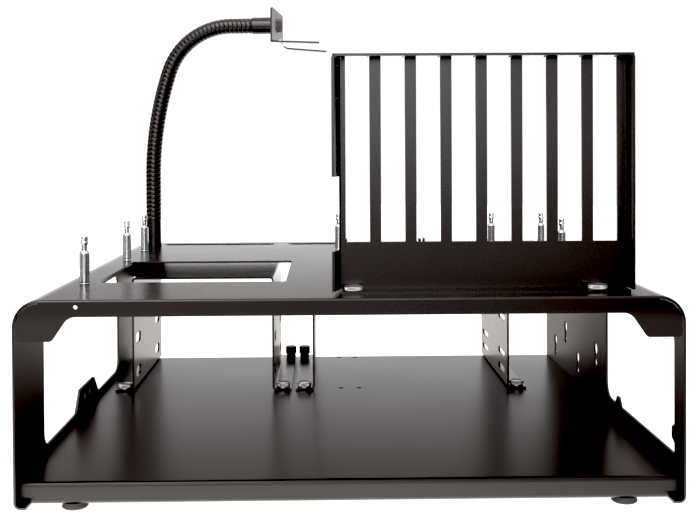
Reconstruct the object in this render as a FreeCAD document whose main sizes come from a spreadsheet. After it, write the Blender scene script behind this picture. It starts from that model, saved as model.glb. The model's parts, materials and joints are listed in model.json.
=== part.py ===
import FreeCAD, Part
import math
import os
from types import SimpleNamespace

import Sketcher
from FreeCAD import Placement, Rotation, Vector

# Open test bench for computer boards, in millimetres.
# +X is to the right, +Y to the back and +Z up, as seen from the side where cards plug in.
# The origin lies on the table, under the middle of the deck.

# Driving dimensions, in groups by sub-part.
SIZES = {
    # folded shell: deck, two sides and the curl under each side
    "deck_width": 369.5,
    "deck_depth": 345,
    "deck_height": 118.3,
    "sheet": 1.5,
    "deck_corner": 15,
    "shell_lift": 3.5,
    "curl_radius": 4,
    "curl_depth": 7,
    "fold_radius": 1.2,
    "flange_drop": 9.3,
    "flange_gap": 0.7,
    "gusset_drop": 22.7,
    "gusset_width": 21.5,
    "gusset_run": 9.2,
    "gusset_nose": 2.5,
    "gusset_throat": 8,
    "flange_hole_side": 34.75,
    "flange_hole_drop": 4,
    "flange_hole_radius": 1.2,
    # board datum on the deck, from the left and front edges
    "board_left": 24.45,
    "board_front": 43,
    # pin columns from the board's left holes, the last two from the deck's right edge, and pin rows
    "pin_middle_column": 157.48,
    "pin_inner_column": 203.2,
    "pin_far_inset": 22.47,
    "pin_right_step": 40.64,
    "pin_near_row": 22.86,
    "pin_middle_row": 154.94,
    "pin_back_row": 227.33,
    # opening under the processor, from the board datum
    "cooler_left": 6,
    "cooler_front": 30,
    "cooler_width": 116,
    "cooler_depth": 118,
    "cooler_corner": 3,
    # row of cable slots along the back of the deck
    "cable_left": 8,
    "cable_setback": 20.5,
    "cable_length": 95,
    "cable_width": 13,
    "cable_pitch": 106,
    # side windows
    "window_top": 20,
    "window_corner": 10,
    "left_window_front": 58,
    "left_panel": 67,
    "left_sill": 4.3,
    "right_window_front": 16,
    "right_panel": 190,
    "right_sill": 9.8,
    # switch lug on the left sill, and the small spur on the right sill
    "lug_front": 78,
    "lug_length": 67.6,
    "lug_height": 14,
    "lug_front_slope": 11,
    "lug_back_slope": 14.6,
    "lug_round": 4,
    "lug_hole_radius": 2.6,
    "lug_hole_pitch": 13.5,
    "spur_front": 104,
    "spur_width": 13,
    "spur_height": 5.5,
    "spur_tip": 4,
    "bump_low": 6,
    "bump_length": 11,
    "bump_depth": 4.5,
    "bump_slope": 2.5,
    # keyholes in the solid rear part of the right side
    "keyhole_head": 4.6,
    "keyhole_neck": 3.5,
    "keyhole_waist": 2.6,
    "keyhole_length": 18.2,
    "keyhole_first": 34.5,
    "keyhole_second": 70.6,
    "keyhole_third": 109.8,
    "keyhole_fourth": 162.4,
    "keyhole_low": 15.2,
    "keyhole_high": 32.4,
    # base tray
    "tray_top": 16.5,
    "tray_setback": 7,
    "tray_back_setback": 0.5,
    "tray_fold": 2.5,
    "tray_gap": 0.2,
    "tray_curl": 5,
    "tray_return": 18,
    "service_left": 158.3,
    "service_pitch": 13.7,
    "service_inset": 6.5,
    "service_radius": 2,
    # drive cages
    "cage_length": 127,
    "cage_back_gap": 0.5,
    "cage_headroom": 13.5,
    "cage_foot": 13,
    "cage_bend": 3,
    "drive_cage_left": -0.4,
    "drive_cage_inside": 104.7,
    "drive_slot_length": 20,
    "drive_slot_width": 8,
    "drive_slot_inset": 18,
    "drive_slot_spacing": 88,
    "drive_slot_first": 12.5,
    "drive_slot_pitch": 26,
    "bay_cage_left": 136.6,
    "bay_cage_inside": 147,
    "bay_slot_length": 28,
    "bay_slot_width": 4.5,
    "bay_slot_inset": 25.25,
    "bay_slot_spacing": 79.25,
    "bay_slot_first": 11.2,
    "bay_slot_step": 12,
    "bay_slot_pitch": 40,
    # thumbscrews and their press nuts
    "screw_inset": 6,
    "screw_offset": 6.6,
    "rear_screw_offset": 8.7,
    "shank_radius": 2,
    "running_gap": 0.05,
    "hole_gap": 0.3,
    "insert_radius": 3.6,
    "insert_height": 4,
    "shank_spare": 1,
    "cap_radius": 5.4,
    "cap_height": 3.6,
    "cap_collar_radius": 5,
    "cap_collar_height": 0.8,
    "cap_bevel": 0.6,
    "knob_radius": 4.65,
    "knob_height": 6.4,
    "knob_neck_radius": 3.8,
    "knob_neck_height": 2.5,
    "rack_cap_radius": 5.6,
    "rack_cap_height": 2.6,
    # card rack
    "rack_right_inset": 23.85,
    "rack_width": 167,
    "rack_setback": 27.2,
    "rack_height": 135,
    "rack_splay": 14.6,
    "rack_bend": 2,
    "rack_flange": 13,
    "rack_foot_gap": 0.5,
    "rack_top_step": 1.8,
    "card_pitch": 20.32,
    "card_slot": 13.8,
    "card_first": 11.2,
    "card_margin": 13,
    "card_sill": 28.1,
    "card_ear": 1.2,
    "card_rim": 2,
    "card_hole_radius": 1.6,
    "card_hole_offset": 8.2,
    "rack_notch_low": 24,
    "rack_notch_high": 66,
    "rack_notch_width": 0.5,
    "rack_side_hole_radius": 1.9,
    "rack_side_hole_low": 110.5,
    "rack_side_hole_pitch": 18.5,
    "rack_screw_left": 8.2,
    "rack_screw_right": 19.8,
    "rack_screw_inset": 6.5,
    # push-on stand-off pins
    "pin_radius": 3,
    "pin_height": 19,
    "pin_shoulder": 20.8,
    "pin_neck_radius": 1.5,
    "pin_bulge_height": 26,
    "pin_bulge_radius": 2.1,
    "pin_tip": 29.2,
    "pin_tip_radius": 1.2,
    "pin_slit": 1.4,
    "pin_slit_depth": 7,
    "stud_radius": 1.75,
    "stud_spare": 1,
    "nut_radius": 3.46,
    "nut_height": 2.4,
    # flexible arm
    "arm_left": -1,
    "arm_setback": 23,
    "arm_heading": -6,
    "arm_straight": 37.3,
    "arm_lean": 18.3,
    "arm_lean_radius": 285,
    "arm_bend_radius": 56.7,
    "arm_tail": 18.6,
    "arm_ridge_radius": 6.1,
    "arm_groove_radius": 5.4,
    "arm_ridge_pitch": 3.85,
    "ferrule_height": 21.6,
    "ferrule_radius": 6.4,
    "ferrule_top_radius": 6.1,
    "ferrule_stud_radius": 4,
    "ferrule_nut_radius": 7.5,
    "ferrule_nut_height": 5,
    "end_ferrule_length": 20.2,
    "end_ferrule_radius": 7,
    "end_ferrule_bevel": 0.8,
    # fan bracket on the end of the arm
    "bracket_near": 29,
    "bracket_far": 34,
    "bracket_above": 12.2,
    "bracket_below": 16.8,
    "bracket_sheet": 1.2,
    "bracket_corner": 2,
    "bracket_stud_radius": 3,
    "prong_length": 38.5,
    "prong_width": 6,
    "prong_sheet": 1.2,
    "bracket_rise": 8.7,
    "prong_step": 2.4,
    "prong_step_run": 4.3,
    "prong_bend_lift": -0.4,
    "prong_droop": 3.5,
    "near_prong_droop": 1.7,
    "bracket_nut_radius": 5.8,
    "bracket_nut_height": 3.5,
    # rubber feet
    "foot_side": 30.05,
    "foot_gap": 0.2,
    "foot_radius": 7.35,
    "foot_top_radius": 6.6,
    "foot_bevel": 0.8,
}

CABLE_SLOTS = 3
DRIVE_ROWS = 3
BAY_PAIRS = 2

document = FreeCAD.newDocument("test_bench")
sheet = document.addObject("Spreadsheet::Sheet", "dims")
for row, (alias, number) in enumerate(SIZES.items(), start=1):
    sheet.set(f"A{row}", alias)
    sheet.set(f"B{row}", str(number))
    sheet.setAlias(f"B{row}", alias)
document.recompute()


class Size:
    """A length with its value and the sheet expression that gives it."""

    def __init__(self, value, text):
        self.value = float(value)
        self.text = text

    def __add__(self, other):
        other = as_size(other)
        return Size(self.value + other.value, f"({self.text} + {other.text})")

    def __sub__(self, other):
        other = as_size(other)
        return Size(self.value - other.value, f"({self.text} - {other.text})")

    def __mul__(self, factor):
        return Size(self.value * factor, f"({self.text} * {factor!r})")

    def __truediv__(self, factor):
        return Size(self.value / factor, f"({self.text} / {factor!r})")

    def __neg__(self):
        return self * -1.0

    __radd__ = __add__
    __rmul__ = __mul__


def as_size(length):
    """Give a plain number the form of a Size."""
    if isinstance(length, Size):
        return length
    return Size(length, f"({float(length)!r})")


d = SimpleNamespace(**{alias: Size(sheet.get(alias), f"dims.{alias}") for alias in SIZES})

# Places that several sub-parts share.
ZERO = as_size(0)
half_width = d.deck_width / 2
half_depth = d.deck_depth / 2
deck_left = -half_width
deck_front = -half_depth
deck_under = d.deck_height - d.sheet
board_x = deck_left + d.board_left
board_y = deck_front + d.board_front
tray_front = deck_front + d.tray_setback
tray_back = half_depth - d.tray_back_setback
tray_under = d.tray_top - d.sheet
cage_back = tray_back - d.cage_back_gap
cage_front = cage_back - d.cage_length
cage_height = deck_under - d.tray_top - d.cage_headroom
rack_right = half_width - d.rack_right_inset
rack_x = rack_right - d.rack_width
rack_front = deck_front + d.rack_setback
rack_lean = math.radians(d.rack_splay.value)
rack_slope = math.tan(rack_lean)
rack_inner_tip = rack_x - (d.rack_flange + d.sheet) * rack_slope + d.sheet / math.cos(rack_lean)
arm_x = board_x + d.arm_left
lean_sine = math.sin(math.radians(d.arm_lean.value))
lean_cosine = math.cos(math.radians(d.arm_lean.value))
arm_reach = d.arm_lean_radius * (1 - lean_cosine) + d.arm_bend_radius * lean_cosine + d.arm_tail
arm_rise = d.arm_lean_radius * lean_sine + d.arm_bend_radius * (1 - lean_sine)
arm_level = d.deck_height + d.ferrule_height + d.arm_straight + arm_rise
arm_y = half_depth - d.arm_setback
screw_hole = d.shank_radius + d.hole_gap
fit_hole = d.shank_radius + d.running_gap
# As many card slots as the rack's width takes.
card_slots = 1 + int((d.rack_width - d.card_first - d.card_margin).value // d.card_pitch.value)


# Board holes that carry a pin: five columns from left to right, four rows from front to back.
pin_left = board_x
pin_middle = board_x + d.pin_middle_column
pin_inner = board_x + d.pin_inner_column
pin_far = half_width - d.pin_far_inset
pin_right = pin_far - d.pin_right_step
row_front = board_y
row_near = board_y + d.pin_near_row
row_middle = board_y + d.pin_middle_row
row_back = board_y + d.pin_back_row
PIN_PLACES = [
    (pin_left, row_near),
    (pin_left, row_middle),
    (pin_left, row_back),
    (pin_middle, row_back),
    (pin_right, row_back),
    (pin_far, row_back),
    (pin_far, row_middle),
    (pin_middle, row_front),
    (pin_inner, row_front),
    (pin_right, row_front),
    (pin_far, row_front),
]


# Outlines: a loop is a list of (x, y, arc), where arc is None or (radius, sense, is_long)
# for the edge that leaves the point; sense is 1 for anticlockwise and -1 for clockwise.


def polygon(*corners):
    """Closed outline through the corners; a corner with a third value is rounded by that radius."""
    loop = []
    count = len(corners)
    for index, corner in enumerate(corners):
        x, y = as_size(corner[0]), as_size(corner[1])
        if len(corner) == 2:
            loop.append((x, y, None))
            continue
        radius = as_size(corner[2])
        here = Vector(x.value, y.value, 0)
        before = flat_point(corners[index - 1])
        after = flat_point(corners[(index + 1) % count])
        come = (here - before).normalize()
        go = (after - here).normalize()
        turn = math.atan2(come.x * go.y - come.y * go.x, come.dot(go))
        reach = abs(math.tan(turn / 2))
        sense = 1 if turn > 0 else -1
        loop.append((x - radius * (reach * come.x), y - radius * (reach * come.y), (radius, sense, False)))
        loop.append((x + radius * (reach * go.x), y + radius * (reach * go.y), None))
    return [point for point, after in zip(loop, loop[1:] + loop[:1]) if not is_idle(point, after)]


def is_idle(point, after):
    """True for a straight edge of no length, where two roundings meet."""
    apart = math.hypot(after[0].value - point[0].value, after[1].value - point[1].value)
    return point[2] is None and apart < 1e-6


def flat_point(corner):
    """Position of an outline's corner as a vector."""
    return Vector(as_size(corner[0]).value, as_size(corner[1]).value, 0)


def rectangle(left, right, low, high, *rounding):
    """Rectangle between two pairs of sides, with rounded corners where a radius is given."""
    return polygon(
        (left, low, *rounding), (right, low, *rounding), (right, high, *rounding), (left, high, *rounding)
    )


def keyhole(x, y):
    """Two round ends joined by a waist: the wide head on top, the narrow neck below."""
    top = y + d.keyhole_length / 2 - d.keyhole_head
    low = y - d.keyhole_length / 2 + d.keyhole_neck
    head_rise = math.sqrt(d.keyhole_head.value**2 - d.keyhole_waist.value**2)
    neck_rise = math.sqrt(d.keyhole_neck.value**2 - d.keyhole_waist.value**2)
    left, right = x - d.keyhole_waist, x + d.keyhole_waist
    return [
        (right, top - head_rise, (d.keyhole_head, 1, True)),
        (left, top - head_rise, None),
        (left, low + neck_rise, (d.keyhole_neck, 1, True)),
        (right, low + neck_rise, None),
    ]


class Circle:
    """A round hole or disc in an outline."""

    def __init__(self, x, y, radius):
        self.x, self.y, self.radius = as_size(x), as_size(y), as_size(radius)


class Slot:
    """A straight slot with round ends, along the outline's first axis."""

    def __init__(self, x, y, length, width):
        self.x, self.y = as_size(x), as_size(y)
        self.reach = (as_size(length) - width) / 2
        self.radius = as_size(width) / 2


PLANES = {"XY": ("XY_Plane", 1), "XZ": ("XZ_Plane", -1), "YZ": ("YZ_Plane", 1)}


def new_body(label):
    """Start a sub-part."""
    body = document.addObject("PartDesign::Body", label)
    body.Label = label
    return body


def new_sketch(body, name, plane, offset):
    """Sketch on one of the body's own planes, moved along that plane's axis."""
    role, sense = PLANES[plane]
    sketch = body.newObject("Sketcher::SketchObject", name)
    support = [feature for feature in body.Origin.OriginFeatures if feature.Role == role][0]
    sketch.AttachmentSupport = [(support, "")]
    sketch.MapMode = "FlatFace"
    along = as_size(offset) * sense
    sketch.AttachmentOffset = Placement(Vector(0, 0, along.value), Rotation())
    sketch.setExpression("AttachmentOffset.Base.z", along.text)
    return sketch


class Pencil:
    """Collects a sketch's geometry and constraints, then binds the constraints to the sheet."""

    def __init__(self, sketch):
        self.sketch = sketch
        self.shapes = []
        self.rules = []
        self.texts = {}

    def rule(self, kind, *arguments):
        self.rules.append(Sketcher.Constraint(kind, *arguments))

    def sized(self, kind, geometry, *point_and_size):
        size = point_and_size[-1]
        self.texts[len(self.rules)] = size.text
        self.rule(kind, geometry, *point_and_size[:-1], size.value)

    def fix(self, geometry, point, x, y):
        """Hold a point at (x, y); on an axis it lies on that axis."""
        for kind, axis, size in (("DistanceX", -2, x), ("DistanceY", -1, y)):
            if abs(size.value) < 1e-7:
                self.rule("PointOnObject", geometry, point, axis)
            else:
                self.sized(kind, geometry, point, size)

    def circle(self, circle):
        index = len(self.shapes)
        centre = Vector(circle.x.value, circle.y.value, 0)
        self.shapes.append(Part.Circle(centre, Vector(0, 0, 1), circle.radius.value))
        self.fix(index, 3, circle.x, circle.y)
        self.sized("Radius", index, circle.radius)

    def slot(self, slot):
        first = len(self.shapes)
        x, y, reach, radius = slot.x.value, slot.y.value, slot.reach.value, slot.radius.value
        up = Vector(0, 0, 1)
        right, left = Vector(x + reach, y, 0), Vector(x - reach, y, 0)
        lift = Vector(0, radius, 0)
        self.shapes.append(Part.ArcOfCircle(Part.Circle(right, up, radius), -math.pi / 2, math.pi / 2))
        self.shapes.append(Part.LineSegment(right + lift, left + lift))
        self.shapes.append(Part.ArcOfCircle(Part.Circle(left, up, radius), math.pi / 2, 1.5 * math.pi))
        self.shapes.append(Part.LineSegment(left - lift, right - lift))
        for step in range(4):
            self.rule("Tangent", first + step, 2, first + (step + 1) % 4, 1)
        self.fix(first, 3, slot.x + slot.reach, slot.y)
        self.fix(first + 2, 3, slot.x - slot.reach, slot.y)
        self.sized("Radius", first, slot.radius)
        self.rule("Equal", first, first + 2)

    def loop(self, loop):
        first = len(self.shapes)
        count = len(loop)
        ends = []
        for step, (x, y, arc) in enumerate(loop):
            next_x, next_y, _ = loop[(step + 1) % count]
            start = Vector(x.value, y.value, 0)
            finish = Vector(next_x.value, next_y.value, 0)
            if arc is None:
                self.shapes.append(Part.LineSegment(start, finish))
                ends.append((1, 2))
                continue
            radius, sense, is_long = arc
            self.shapes.append(circle_arc(start, finish, radius.value, sense, is_long))
            ends.append((1, 2) if sense > 0 else (2, 1))
        for step, (x, y, arc) in enumerate(loop):
            after = (step + 1) % count
            self.rule("Coincident", first + step, ends[step][1], first + after, ends[after][0])
            self.fix(first + step, ends[step][0], x, y)
            if arc is not None:
                self.sized("Radius", first + step, arc[0])

    def finish(self):
        self.sketch.addGeometry(self.shapes, False)
        self.sketch.addConstraint(self.rules)
        for index, text in self.texts.items():
            self.sketch.setExpression(f"Constraints[{index}]", text)


def circle_arc(start, finish, radius, sense, is_long):
    """Arc from start to finish, as an anticlockwise piece of a circle."""
    chord = finish - start
    half = chord.Length / 2
    rise = math.sqrt(max(radius * radius - half * half, 0.0))
    side = sense if not is_long else -sense
    across = Vector(-chord.y, chord.x, 0).normalize()
    centre = (start + finish) * 0.5 + across * (rise * side)
    first, last = (start, finish) if sense > 0 else (finish, start)
    low = math.atan2(first.y - centre.y, first.x - centre.x)
    high = math.atan2(last.y - centre.y, last.x - centre.x)
    if high <= low:
        high += 2 * math.pi
    return Part.ArcOfCircle(Part.Circle(centre, Vector(0, 0, 1), radius), low, high)


def draw(sketch, outlines):
    """Draw outlines in a sketch: loops, circles and slots."""
    pencil = Pencil(sketch)
    for outline in outlines:
        if isinstance(outline, Circle):
            pencil.circle(outline)
        elif isinstance(outline, Slot):
            pencil.slot(outline)
        else:
            pencil.loop(outline)
    pencil.finish()


def set_length(feature, prop, size):
    """Give a feature's length its value and bind it to the sheet."""
    size = as_size(size)
    setattr(feature, prop, size.value)
    feature.setExpression(prop, size.text)


def pad(body, name, plane, low, high, *outlines):
    """Add material between two levels of a plane's axis."""
    low, high = as_size(low), as_size(high)
    start = low if PLANES[plane][1] > 0 else high
    sketch = new_sketch(body, f"{name}_outline", plane, start)
    draw(sketch, outlines)
    feature = body.newObject("PartDesign::Pad", name)
    feature.Profile = sketch
    set_length(feature, "Length", high - low)
    return feature


def cut(body, name, plane, low, high, *outlines):
    """Take material away between two levels of a plane's axis."""
    low, high = as_size(low), as_size(high)
    start = high if PLANES[plane][1] > 0 else low
    sketch = new_sketch(body, f"{name}_outline", plane, start)
    draw(sketch, outlines)
    feature = body.newObject("PartDesign::Pocket", name)
    feature.Profile = sketch
    set_length(feature, "Length", high - low)
    return feature


def round_edges(body, name, radius, chosen):
    """Round the body's straight edges whose two ends both satisfy a test."""
    document.recompute()
    base = body.Tip
    names = [
        f"Edge{index}"
        for index, edge in enumerate(base.Shape.Edges, start=1)
        if all(chosen(vertex.Point) for vertex in edge.Vertexes)
    ]
    feature = body.newObject("PartDesign::Fillet", name)
    feature.Base = (base, names)
    set_length(feature, "Radius", radius)
    return feature


def same(first, size):
    """True where a coordinate equals a size."""
    return abs(first - size.value) < 1e-6


def turn(body, name, outline):
    """Turned solid: the outline holds radius and height, and goes round the body's Z axis."""
    sketch = new_sketch(body, f"{name}_outline", "XZ", ZERO)
    draw(sketch, [outline])
    feature = body.newObject("PartDesign::Revolution", name)
    feature.Profile = sketch
    feature.ReferenceAxis = (sketch, ["V_Axis"])
    feature.Angle = 360
    return feature


def place(item, x, y, z):
    """Put an object at a point that follows the sheet."""
    point = [as_size(x), as_size(y), as_size(z)]
    item.Placement = Placement(Vector(*[size.value for size in point]), item.Placement.Rotation)
    for axis, size in zip("xyz", point):
        item.setExpression(f"Placement.Base.{axis}", size.text)


def on_arm(item, along, height):
    """Put an object in the arm's upright plane, turned so that its own X axis runs along the reach."""
    heading = math.radians(d.arm_heading.value)
    item.Placement = Placement(Vector(), Rotation(Vector(0, 0, 1), d.arm_heading.value))
    place(item, arm_x + along * math.cos(heading), arm_y + along * math.sin(heading), height)


nodes = []


def node(item):
    """Count an object as a finished sub-part."""
    nodes.append(item)
    return item


def folded_channel(start, end, low, high, corner, curl, depth):
    """Section of a sheet folded to a wide channel: a top, two sides and a curl under each side."""
    inner_start = start + d.sheet
    inner_end = end - d.sheet
    return polygon(
        (end - depth, low),
        (end, low, curl),
        (end, high, corner),
        (start, high, corner),
        (start, low, curl),
        (start + depth, low),
        (start + depth, low + d.sheet),
        (inner_start, low + d.sheet, curl - d.sheet),
        (inner_start, high - d.sheet, corner - d.sheet),
        (inner_end, high - d.sheet, corner - d.sheet),
        (inner_end, low + d.sheet, curl - d.sheet),
        (end - depth, low + d.sheet),
    )


def flange_outline():
    """Front flange with a gusset at each end, clear of the curved corner by a thin slit."""
    top = d.deck_height
    reach = half_width - d.deck_corner
    outer = half_width - d.sheet - d.flange_gap
    crown = deck_under - d.flange_gap
    bend = d.deck_corner - d.sheet - d.flange_gap
    low = top - d.gusset_drop
    narrow = top - d.flange_drop
    inner = half_width - d.gusset_width
    waist = inner - d.gusset_run
    return polygon(
        (-reach, top),
        (-reach, crown),
        (-outer, crown, bend),
        (-outer, low, d.gusset_nose),
        (-inner, low, d.gusset_nose),
        (-waist, narrow, d.gusset_throat),
        (waist, narrow, d.gusset_throat),
        (inner, low, d.gusset_nose),
        (outer, low, d.gusset_nose),
        (outer, crown, bend),
        (reach, crown),
        (reach, top),
    )


def left_window():
    """Left side window, with the switch lug standing on its sill."""
    front = deck_front + d.left_window_front
    back = half_depth - d.left_panel
    sill = d.tray_top + d.left_sill
    top = d.deck_height - d.window_top
    lug = front + d.lug_front
    lug_end = lug + d.lug_length
    crest = sill + d.lug_height
    return polygon(
        (front, sill, d.window_corner),
        (lug, sill, d.lug_round),
        (lug + d.lug_front_slope, crest, d.lug_round),
        (lug_end - d.lug_back_slope, crest, d.lug_round),
        (lug_end, sill, d.lug_round),
        (back, sill, d.window_corner),
        (back, top, d.window_corner),
        (front, top, d.window_corner),
    )


def lug_holes():
    """Two switch holes side by side in the lug."""
    lug = deck_front + d.left_window_front + d.lug_front
    crest_middle = lug + (d.lug_front_slope + d.lug_length - d.lug_back_slope) / 2
    height = d.tray_top + d.left_sill + d.lug_height / 2
    return [
        Circle(crest_middle - d.lug_hole_pitch / 2, height, d.lug_hole_radius),
        Circle(crest_middle + d.lug_hole_pitch / 2, height, d.lug_hole_radius),
    ]


def right_window():
    """Right side window, with a small spur on its sill."""
    front = deck_front + d.right_window_front
    back = half_depth - d.right_panel
    sill = d.tray_top + d.right_sill
    top = d.deck_height - d.window_top
    spur = front + d.spur_front
    slope = (d.spur_width - d.spur_tip) / 2
    bump = sill + d.bump_low
    bump_top = bump + d.bump_length
    return polygon(
        (front, bump),
        (front, sill),
        (spur, sill),
        (spur + slope, sill + d.spur_height),
        (spur + slope + d.spur_tip, sill + d.spur_height),
        (spur + d.spur_width, sill),
        (back, sill, d.window_corner),
        (back, top, d.window_corner),
        (front, top, d.window_corner),
        (front, bump_top),
        (front + d.bump_depth, bump_top - d.bump_slope),
        (front + d.bump_depth, bump + d.bump_slope),
    )


def make_frame_shell():
    """Deck and both sides, folded from one sheet."""
    body = new_body("frame_shell")
    section = folded_channel(
        deck_left, half_width, d.shell_lift, d.deck_height, d.deck_corner, d.curl_radius, d.curl_depth
    )
    pad(body, "channel", "XZ", deck_front, half_depth, section)
    pad(body, "front_flange", "XZ", deck_front, deck_front + d.sheet, flange_outline())
    pad(body, "back_flange", "XZ", half_depth - d.sheet, half_depth, flange_outline())
    round_edges(
        body,
        "deck_folds",
        d.fold_radius,
        lambda point: same(point.z, d.deck_height) and same(abs(point.y), half_depth),
    )
    cooler_x = board_x + d.cooler_left
    cooler_y = board_y + d.cooler_front
    deck_cuts = [
        rectangle(
            cooler_x, cooler_x + d.cooler_width, cooler_y, cooler_y + d.cooler_depth, d.cooler_corner
        ),
        Circle(arm_x, arm_y, d.ferrule_stud_radius + d.running_gap),
    ]
    for index in range(CABLE_SLOTS):
        middle = board_x + d.cable_left + d.cable_length / 2 + d.cable_pitch * index
        deck_cuts.append(Slot(middle, half_depth - d.cable_setback, d.cable_length, d.cable_width))
    for x, y in PIN_PLACES:
        deck_cuts.append(Circle(x, y, d.stud_radius + d.running_gap))
    for x, y in rack_screw_places():
        deck_cuts.append(Circle(x, y, screw_hole))
    cut(body, "deck_openings", "XY", deck_under, d.deck_height, *deck_cuts)
    wall = d.sheet * 2
    cut(body, "left_opening", "YZ", deck_left, deck_left + wall, left_window(), *lug_holes())
    right_cuts = [right_window()]
    low, high = d.tray_top + d.keyhole_low, d.tray_top + d.keyhole_high
    for setback, height in (
        (d.keyhole_first, low),
        (d.keyhole_second, high),
        (d.keyhole_third, low),
        (d.keyhole_fourth, high),
    ):
        right_cuts.append(keyhole(half_depth - setback, height))
    cut(body, "right_opening", "YZ", half_width - wall, half_width, *right_cuts)
    hole = Circle(
        deck_left + d.flange_hole_side, d.deck_height - d.flange_hole_drop, d.flange_hole_radius
    )
    cut(body, "flange_hole", "XZ", deck_front, deck_front + d.sheet, hole)
    return node(body)


def make_base_tray():
    """Floor of the bench: a sheet with a rolled lip in front and behind, standing on the shell's curls."""
    body = new_body("base_tray")
    reach = half_width - d.sheet - d.tray_gap
    section = folded_channel(
        tray_front, tray_back, d.shell_lift, d.tray_top, d.tray_fold, d.tray_curl, d.tray_return
    )
    pad(body, "lipped_floor", "YZ", -reach, reach, section)
    ledge = half_width - d.curl_depth - d.hole_gap
    beyond = half_width
    seat = d.shell_lift + d.sheet
    under = d.shell_lift - d.sheet
    bend = d.curl_radius - d.sheet - d.tray_gap
    for side, name in ((-1.0, "left"), (1.0, "right")):
        relief = polygon(
            (ledge * side, under),
            (beyond * side, under),
            (beyond * side, seat + bend),
            (reach * side, seat + bend),
            (reach * side, seat, bend),
            (ledge * side, seat),
        )
        cut(body, f"{name}_seat", "XZ", tray_front, tray_back, relief)
    holes = [Circle(x, y, screw_hole) for x, y in cage_screw_places()]
    for column in range(2):
        for y in (cage_front + d.service_inset, cage_back - d.service_inset):
            x = board_x + d.service_left + d.service_pitch * column
            holes.append(Circle(x, y, d.service_radius))
    cut(body, "floor_holes", "XY", tray_under, d.tray_top, *holes)
    return node(body)


def cage_span(cage):
    """Left and right outer faces of a cage."""
    left_size, inside = {
        "drive": (d.drive_cage_left, d.drive_cage_inside),
        "bay": (d.bay_cage_left, d.bay_cage_inside),
    }[cage]
    left = board_x + left_size
    return left, left + inside + d.sheet * 2


def cage_screws_of(cage):
    """Places of a cage's four thumbscrews: name, x, y."""
    left, right = cage_span(cage)
    places = []
    for row_name, y, offset in (
        ("front", cage_front + d.screw_inset, d.screw_offset),
        ("rear", cage_back - d.screw_inset, d.rear_screw_offset),
    ):
        places.append((f"{row_name}_left", left - offset, y))
        places.append((f"{row_name}_right", right + offset, y))
    return places


def cage_screw_places():
    """Places of all eight cage screws."""
    return [(x, y) for cage in ("drive", "bay") for _, x, y in cage_screws_of(cage)]


def rack_screw_places():
    """Places of the two screws that hold the card rack."""
    y = rack_front - d.rack_screw_inset
    return [(rack_x + d.rack_screw_left, y), (rack_right - d.rack_screw_right, y)]


def foot_places():
    """Places of the four rubber feet."""
    x = half_width - d.foot_side
    inset = d.sheet + d.foot_gap + d.foot_radius
    front = tray_front + inset
    back = tray_back - inset
    return [(-x, front), (x, front), (-x, back), (x, back)]


def drive_slots():
    """Slots for the side screws of three stacked drives."""
    slots = []
    for row_index in range(DRIVE_ROWS):
        height = d.tray_top + d.drive_slot_first + d.drive_slot_pitch * row_index
        for column in range(2):
            along = cage_front + d.drive_slot_inset + d.drive_slot_spacing * column
            slots.append(Slot(along, height, d.drive_slot_length, d.drive_slot_width))
    return slots


def bay_slots():
    """Slots for the side screws of two stacked wide drives, a pair of rows for each."""
    slots = []
    for pair in range(BAY_PAIRS):
        for step in range(2):
            height = d.tray_top + d.bay_slot_first + d.bay_slot_step * step + d.bay_slot_pitch * pair
            for column in range(2):
                along = cage_front + d.bay_slot_inset + d.bay_slot_spacing * column
                slots.append(Slot(along, height, d.bay_slot_length, d.bay_slot_width))
    return slots


def make_cage(cage, slots):
    """Drive cage: a sheet folded to an upturned U, with a foot along each side."""
    body = new_body(f"{cage}_cage")
    left, right = cage_span(cage)
    low = d.tray_top
    high = low + cage_height
    foot_top = low + d.sheet
    outer = d.cage_bend
    inner = d.cage_bend - d.sheet
    section = polygon(
        (left - d.cage_foot, low),
        (left + d.sheet, low, outer),
        (left + d.sheet, high - d.sheet, inner),
        (right - d.sheet, high - d.sheet, inner),
        (right - d.sheet, low, outer),
        (right + d.cage_foot, low),
        (right + d.cage_foot, foot_top),
        (right, foot_top, inner),
        (right, high, outer),
        (left, high, outer),
        (left, foot_top, inner),
        (left - d.cage_foot, foot_top),
    )
    pad(body, f"{cage}_fold", "XZ", cage_front, cage_back, section)
    cut(body, f"{cage}_slots", "YZ", left, right, *slots)
    holes = [Circle(x, y, screw_hole) for _, x, y in cage_screws_of(cage)]
    cut(body, f"{cage}_foot_holes", "XY", low, foot_top, *holes)
    return node(body)


def rack_section():
    """Section of the rack: the plate, a square flange on its right and a splayed one on its left."""
    left = rack_x
    right = rack_right
    front = rack_front
    back = front + d.sheet
    tip = front - d.rack_flange
    outer_tip = left - (d.rack_flange + d.sheet) * rack_slope
    inner_left = left + d.sheet * (math.cos(rack_lean) - (1 - math.sin(rack_lean)) * rack_slope)
    bend = d.rack_bend
    inner = d.rack_bend - d.sheet
    return polygon(
        (outer_tip, tip),
        (rack_inner_tip, tip),
        (inner_left, front, inner),
        (right - d.sheet, front, inner),
        (right - d.sheet, tip),
        (right, tip),
        (right, back, bend),
        (left, back, bend),
    )


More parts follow.
